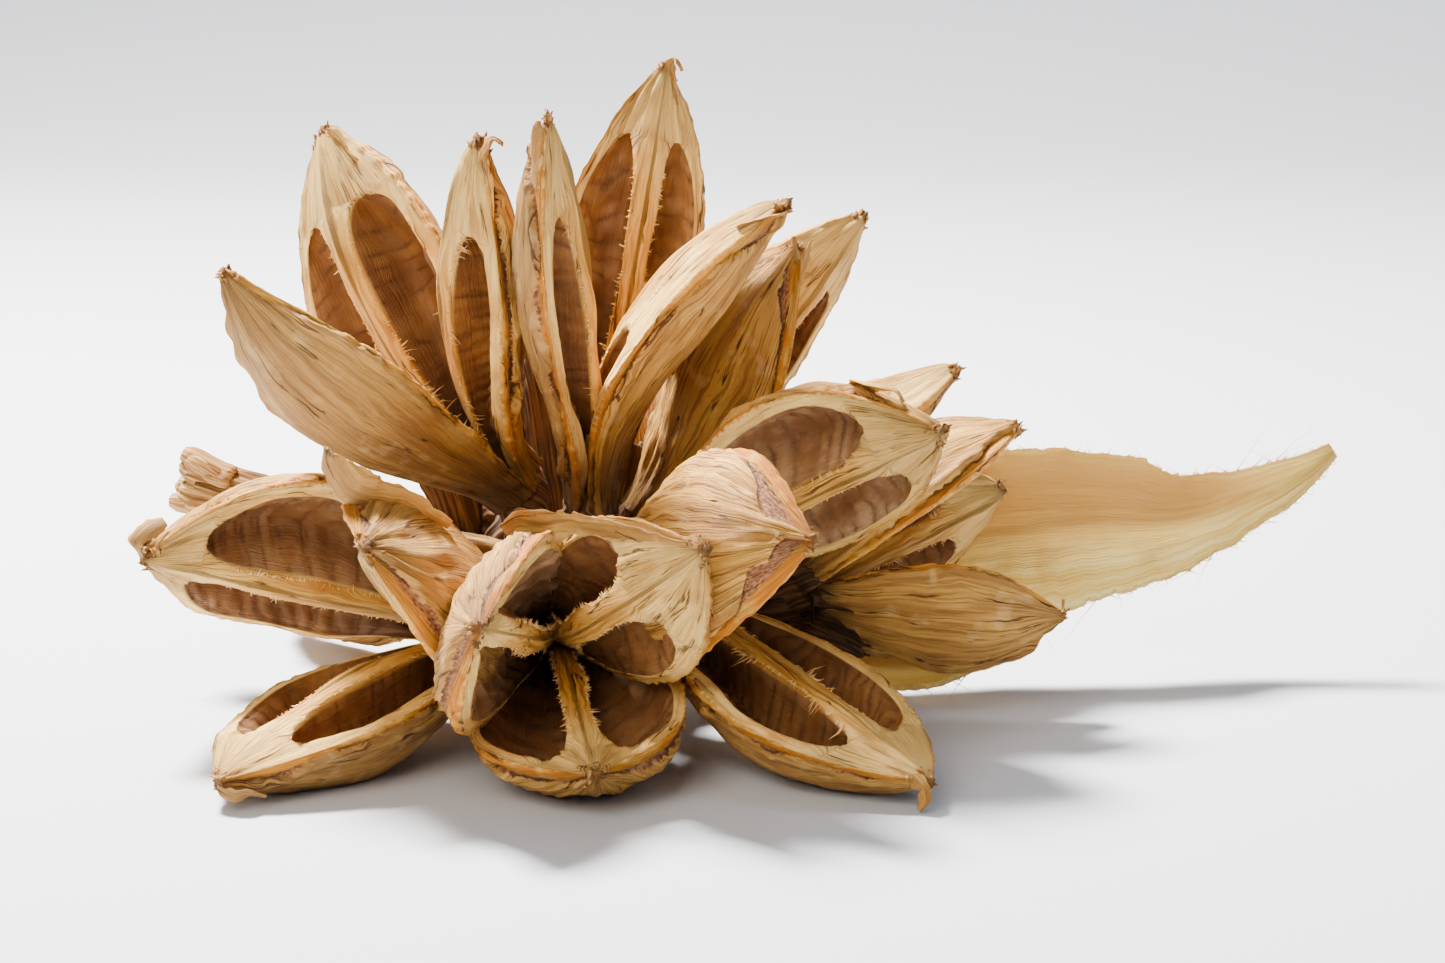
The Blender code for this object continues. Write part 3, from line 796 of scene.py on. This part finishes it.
def tube_grid(line, radii, sides, seed, ribs, rib_count):
    """A ribbed, knotty tube along a line."""
    along = walked_along(line)[:, None]
    towards = directions(line)
    side = unit(np.cross(towards, (0.0, 0.3, 1.0)))
    up = np.cross(side, towards)
    turn = 2 * np.pi * np.arange(sides) / sides
    twist = turn[None, :] + 0.25 * noise(along / 20, turn[None, :] * 1.0, seed)
    relief = 1 + ribs * np.cos(rib_count * twist)
    relief = relief + 0.10 * fractal(along / 12, 3 * np.cos(turn) + 7, seed + 1, 3)
    reach = radii[:, None] * relief
    points = line[:, None] + reach[..., None] * (
        np.cos(turn)[None, :, None] * side[:, None] + np.sin(turn)[None, :, None] * up[:, None])
    across = np.broadcast_to(turn * radii.max(), reach.shape)
    grain = np.stack([np.broadcast_to(along, reach.shape), across, np.full(reach.shape, seed * 0.37)], -1)
    return {"points": place(points), "grain": grain}


def stem_piece():
    knots = smooth_line([(*point, radius) for point, radius in STEM_LINE], 24)
    line, radii = knots[:, :3], knots[:, 3]
    bark = tube_grid(line, radii, 72, 901, 0.06, 9)
    strands = []
    rng = np.random.default_rng(17)
    outward = -directions(line)[0]
    side = unit(np.cross(outward, (0, 0.3, 1)))
    up = np.cross(side, outward)
    for number in range(30):
        turn, reach = rng.uniform(0, 2 * math.pi), radii[0] * math.sqrt(rng.uniform(0.02, 1.0))
        root = line[0] + reach * (math.cos(turn) * side + math.sin(turn) * up) - outward * 8
        lean = unit(outward + 0.09 * rng.normal(size=3))
        strand = root + lean * np.linspace(0, rng.uniform(9, 14), 8)[:, None]
        thick = np.full(8, rng.uniform(1.5, 2.6)) * np.array((0.8, 1, 1, 1, 1.05, 1.1, 1.05, 0.7))
        strands.append(tube_grid(strand, thick, 12, 920 + number, 0.16, 4))
    finish(grid_mesh([bark], "stem_bark", ("grain",)), "stem", STEM)
    finish(grid_mesh(strands, "stem_end", ("grain",)), "stem", STEM_END)


def bract_grid(knots, seed, across_steps):
    knots = smooth_line([(*point, width, curl) for point, width, curl in knots], 26)
    line = knots[:, :3]
    along = walked_along(line)[:, None]
    length = along[-1, 0]
    towards = directions(line)
    behind = unit(np.array((0.0, 1.0, 0.0)) - towards * towards[:, 1:2])
    side = np.cross(towards, behind)
    curl = np.radians(knots[:, 4:5])
    radius = knots[:, 3:4] / np.sin(curl)
    step = np.linspace(-1, 1, across_steps)[None, :]
    frays = []
    for hand in (0, 1):
        fray = 0.05 * fractal(along / 6, hand * 5.0, seed, 4) + 0.03 * noise(along / 0.9, hand * 3.0, seed + 9)
        frays.append(fray)
    reach = step * (1 + np.where(step < 0, frays[0], frays[1]))
    angle = curl * reach
    buckle = 1.3 * fractal(along / 30, step * 1.4, seed + 3, 3) + 0.12 * np.sin(step * 40 + 2 * noise(along / 25, step, seed + 4))
    faces = []
    for lift, order in ((BLADE_THICKNESS / 2, 1), (-BLADE_THICKNESS / 2, -1)):
        thin = 0.35 + 0.65 * (1 - np.abs(step) ** 4)
        out = radius + buckle + lift * thin
        face = line[:, None] + (out * np.cos(angle) - radius)[..., None] * behind[:, None]
        face = face + (out * np.sin(angle))[..., None] * side[:, None]
        faces.append(face[:, ::order])
    points = np.concatenate(faces, 1)
    arc = curl * radius
    across = np.broadcast_to(step * knots[:, 3].max() * 1.2, arc.shape[:1] + step.shape[1:])
    from_edge = arc * (1 - np.abs(step))
    both = [np.concatenate([part, part[:, ::-1]], 1) for part in (across, from_edge)]
    tall = np.broadcast_to(along, both[0].shape)
    tint = np.full(tall.shape, seed * 0.37)
    height = np.broadcast_to(step, from_edge.shape)
    height = np.concatenate([height, height[:, ::-1]], 1)
    return {
        "points": place(points),
        "grain": np.stack([tall, both[0], tint], -1),
        "zones": np.stack([both[1], height, tall / length], -1),
        "edges": (points[:, 0], points[:, across_steps - 1]),
        "towards": towards,
        "side": side,
    }


def frayed_edges(grid, seed, count, fibres):
    """Loose threads along a bract's torn edges, most of them lying along it."""
    rng = np.random.default_rng(seed)
    for edge, hand in zip(grid["edges"], (-1, 1)):
        rows = rng.integers(20, len(edge) - 4, count)
        turn = rng.normal(size=(count, 3)) * 0.25
        direction = unit(grid["towards"][rows] * rng.choice((-1, 1, 1), (count, 1))
                         + hand * grid["side"][rows] * rng.uniform(0.1, 0.9, (count, 1)) + turn)
        length = rng.uniform(0.8, 3.0, count) + 6 * (rng.uniform(0, 1, count) > 0.93)
        needles(edge[rows] - direction * 0.5, direction, length, rng.uniform(0.08, 0.2, count), fibres,
                0.4 * rng.normal(size=(count, 3)))


def bract_piece(name, knots, seed):
    grid = bract_grid(knots, seed, 56 if seed == 700 else 20)
    finish(grid_mesh([grid], name + "_blade", ("grain", "zones")), name, BRACT)
    fibres = []
    frayed_edges(grid, seed, 170 if seed == 700 else 30, fibres)
    hairs = grid_mesh([{"points": place(points)} for points in fibres], name + "_threads")
    finish(hairs, name, FIBRE)


# Loose and curled scraps of skin: the node each belongs to, the points of its centre line, the half
# width at each, which way its width lies, how far that turns from end to end in degrees, how brown.
SCRAPS = {
    "top_left_curl": ("capsule_top_left", (
        (-51.5, -4.5, 116), (-52, -4.8, 124), (-53.5, -4.5, 131), (-51.5, -3, 135.5), (-49, -2, 134)),
        (0.9, 1.6, 1.3, 1.2, 0.7), (0.6, -0.8, 0.0), 70, 0.2),
    "top_left_flap": ("capsule_top_left", (
        (-92.5, 43, 131.8), (-89.5, 40, 130.8), (-87, 36.8, 127.5), (-84.2, 33.5, 126.2)),
        (1.0, 2.4, 2.2, 0.8), (0.2, -0.6, 0.8), 30, 0.4),
    "top_hook": ("capsule_top", (
        (-11.5, 36.5, 139), (-11.8, 36.5, 144), (-12.4, 35.6, 148.5), (-10.6, 35, 149.6), (-9.2, 35, 147)),
        (1.4, 1.6, 1.3, 0.9, 0.5), (0.9, -0.4, 0.1), 60, 0.4),
    "top_spike": ("capsule_top", (
        (-41.2, -22.5, 127), (-40.8, -23, 134), (-40.8, -23, 138.5), (-40.0, -22.5, 141.5)),
        (1.8, 1.8, 1.4, 0.6), (0.7, -0.7, 0.0), 40, 0.5),
    "top_prong": ("capsule_top", (
        (3.5, -4.5, 115.5), (8.5, -6, 118), (12, -5.5, 118.6), (15.6, -4.6, 119.6)),
        (1.2, 1.5, 1.2, 0.5), (0.3, -0.8, 0.5), 40, 0.1),
    "top_right_spikes": ("capsule_top_right", (
        (15.8, 26.6, 100), (16.8, 26.4, 105), (16.2, 26.6, 109.6)),
        (1.4, 1.2, 0.4), (0.8, -0.6, 0.0), 20, 0.8),
    "top_right_spur": ("capsule_top_right", (
        (17.6, 27.4, 99), (19.2, 27.8, 104), (20.4, 28, 108)),
        (1.6, 1.3, 0.4), (0.8, 0.6, 0.0), 20, 0.8),
    "front_roll": ("capsule_front", (
        (-47.5, -40, 53.5), (-43.5, -40.5, 55.5), (-37, -42, 56), (-30, -45.6, 56.6),
        (-18, -58, 57), (-7.5, -68.8, 57)),
        (2.2, 4.8, 4.0, 2.4, 1.6, 0.6), (0.1, -0.5, 0.9), 20, 0.5),
    "left_curl": ("capsule_left", (
        (-131, -10, 41.5), (-132, -10.5, 44.5), (-130, -9.5, 47.2), (-126, -6.5, 49)),
        (1.2, 2.4, 2.6, 1.4), (0.6, -0.3, -0.6), 30, 0.8),
    "right_flap": ("capsule_right", (
        (24.5, 4, 74), (29.5, -4, 79.5), (34, -10, 81), (38.6, -10.5, 80), (40.5, -9.5, 77.4)),
        (1.4, 2.4, 2.8, 2.4, 1.2), (0.1, -0.9, 0.5), 60, 0.3),
    "left_peak": ("capsule_left", (
        (-60, -33, 53.5), (-69.8, -37, 59.4), (-77, -40, 61), (-82, -41.5, 64.5), (-85.2, -41, 68.6),
        (-86.6, -40, 72.5)),
        (1.2, 3.6, 5.2, 5.4, 3.6, 0.7), (0.3, -0.5, 0.8), 20, 0.6),
    "left_foot": ("capsule_left", (
        (-109, -60, 1.6), (-105.4, -61.5, 0.2), (-102, -60.6, 0.6), (-98.5, -59.6, -0.6)),
        (0.9, 1.6, 1.4, 0.6), (0.1, -0.5, 0.8), 80, 1.0),
    "right_tag": ("capsule_right", (
        (41, -60, 4), (43.4, -60.6, 1.5), (43.6, -61, -1.2), (42.4, -61, -3.4)),
        (1.6, 1.7, 1.3, 0.6), (0.9, -0.4, 0.1), 30, 0.4),
    "far_right_hook": ("capsule_far_right", (
        (74, 21.5, 19.5), (77.5, 23.5, 20), (79.6, 24.5, 21.4), (80, 25, 24)),
        (1.2, 1.1, 0.8, 0.4), (0.2, -0.8, 0.5), 30, 0.5),
}


def strip_grid(points, widths, side, turn, brown, seed):
    """A thin ragged ribbon, cupped across, along a line of points."""
    knots = smooth_line([(*point, width) for point, width in zip(points, widths)], 8)
    line = knots[:, :3]
    along = walked_along(line)[:, None]
    towards = directions(line)
    side = unit(np.array(side) - towards * (towards @ np.array(side))[:, None])
    above = np.cross(towards, side)
    angle = np.radians(turn) * (along / along[-1] - 0.5)
    side, above = side * np.cos(angle) + above * np.sin(angle), above * np.cos(angle) - side * np.sin(angle)
    step = np.linspace(-1, 1, 9)[None, :]
    ragged = np.minimum(0.35, 0.7 / knots[:, 3:4])
    ragged = 1 + ragged * fractal(along / 1.8, np.sign(step) * 3, seed, 2)
    reach = knots[:, 3:4] * step * ragged
    cup = 0.3 * knots[:, 3:4] * step**2 + 0.25 * fractal(along / 3, step * 1.5, seed + 5, 2)
    layers = []
    for lift, order in ((0.25, 1), (-0.25, -1)):
        height = cup + lift * (1 - 0.8 * step**4)
        layer = line[:, None] + reach[..., None] * side[:, None] + height[..., None] * above[:, None]
        layers.append(layer[:, ::order])
    points = np.concatenate(layers, 1)
    across = np.concatenate([reach, reach[:, ::-1]], 1)
    shape = across.shape
    return {
        "points": place(points),
        "grain": np.stack([np.broadcast_to(along, shape), across, np.full(shape, seed * 0.37)], -1),
        "zones": np.broadcast_to((5.0, -5.0, 0.0), (*shape, 3)),
        "marks": np.broadcast_to((9.0, 0.3, 0.0), (*shape, 3)),
        "hues": np.broadcast_to((0.0, brown, 0.0), (*shape, 3)),
    }


def scrap_pieces():
    for number, (name, (node, points, widths, side, turn, brown)) in enumerate(SCRAPS.items()):
        grid = strip_grid(points, widths, side, turn, brown, 400 + number)
        finish(grid_mesh([grid], name, ("grain", "zones", "marks", "hues")), node, VALVE)


# Dark strips between the stalks, put there as painted shade for the shaded middle of the head: the points of
# each, built as the scraps above without a node and a width's direction.
SHADE_STRIPS = (
    ((-52, 52, 30), (-47, 50, 52), (-43, 52, 72), (-41, 56, 90)),
    ((-36, 50, 28), (-38, 46, 48), (-40, 46, 66), (-43, 50, 80)),
    ((-60, 50, 30), (-64, 50, 44), (-70, 54, 54), (-78, 60, 58)),
    ((-24, 52, 26), (-23, 49, 36), (-21, 48, 46), (-18, 50, 56)),
    ((8, 34, 18), (14, 24, 20), (22, 20, 24), (32, 20, 22)),
    ((8, 32, 14), (16, 22, 16), (25, 19, 16), (34, 20, 12)),
    ((4, 34, 22), (10, 24, 27), (18, 20, 31), (26, 22, 33)),
)


def shade_strip_piece():
    grids = []
    for number, points in enumerate(SHADE_STRIPS):
        for layer in range(3):
            shift = np.array((layer - 1.0, 2.0 * layer, 0.0)) * 1.6
            grids.append(strip_grid(np.array(points) + shift, (3, 6, 5.5, 2.6), (1, -0.2, 0.1), 50 - 50 * layer,
                                    1.0, 500 + 10 * number + layer))
    finish(grid_mesh(grids, "stem_shade_strips", ("grain",)), "stem", SHADED_STALK)


for order, (name, capsule) in enumerate(CAPSULES.items()):
    capsule_piece(name, capsule, order + 1)
scrap_pieces()
shade_strip_piece()
stem_piece()
for order, (name, knots) in enumerate(BRACTS.items()):
    bract_piece(name, knots, 700 + order)


# Stage, light and camera.

def backdrop():
    """A pale floor that rises behind the head in one smooth curve."""
    near, far, rise, half = -3.0, 1.1, 1.0, 4.0
    turn = np.linspace(0, math.pi / 2, 24)
    y = np.concatenate([[near], far + rise * np.sin(turn), [far + rise]])
    z = np.concatenate([[0.0], rise * (1 - np.cos(turn)), [3.2]])
    points = np.array([(x, y[i], z[i]) for i in range(len(y)) for x in (-half, half)])
    faces = np.array([(2 * i, 2 * i + 1, 2 * i + 3, 2 * i + 2) for i in range(len(y) - 1)])
    made = mesh_object(points, [faces], "backdrop")
    s = Shader("paper", 0.9)
    s.surface.inputs["Base Color"].default_value = tone(204, 207, 214)
    made.data.materials.append(s.made)


def soft_light(name, where, aim, size, power, color=(1, 1, 1)):
    light = bpy.data.lights.new(name, "AREA")
    light.size = size
    light.energy = power
    light.color = color
    made = bpy.data.objects.new(name, light)
    made.location = where
    made.rotation_euler = (Vector(aim) - Vector(where)).to_track_quat("-Z", "Y").to_euler()
    bpy.context.scene.collection.objects.link(made)


def camera():
    target = place((0, 0, 57))
    elevation, distance = math.radians(11), 0.95
    made = bpy.data.objects.new("camera", bpy.data.cameras.new("camera"))
    made.location = target + distance * np.array((0, -math.cos(elevation), math.sin(elevation)))
    made.rotation_euler = (math.pi / 2 - elevation, 0, 0)
    made.data.sensor_width = 36
    made.data.lens = 36 * 4180 / 1445
    bpy.context.scene.collection.objects.link(made)
    bpy.context.scene.camera = made


backdrop()
soft_light("key", (-0.42, 0.46, 1.02), (0, 0, 0.05), 0.24, 122, (1.0, 0.96, 0.9))
soft_light("front", (-0.4, -0.9, 0.7), (0, 0, 0.05), 0.7, 11, (1.0, 0.92, 0.78))
soft_light("back", (0.4, 0.9, 1.7), (0.3, 1.7, 0), 1.2, 12)
world = bpy.data.worlds.new("world")
world.use_nodes = True
world.node_tree.nodes["Background"].inputs["Color"].default_value = (0.84, 0.93, 1.1, 1)
world.node_tree.nodes["Background"].inputs["Strength"].default_value = 0.3
bpy.context.scene.world = world
camera()
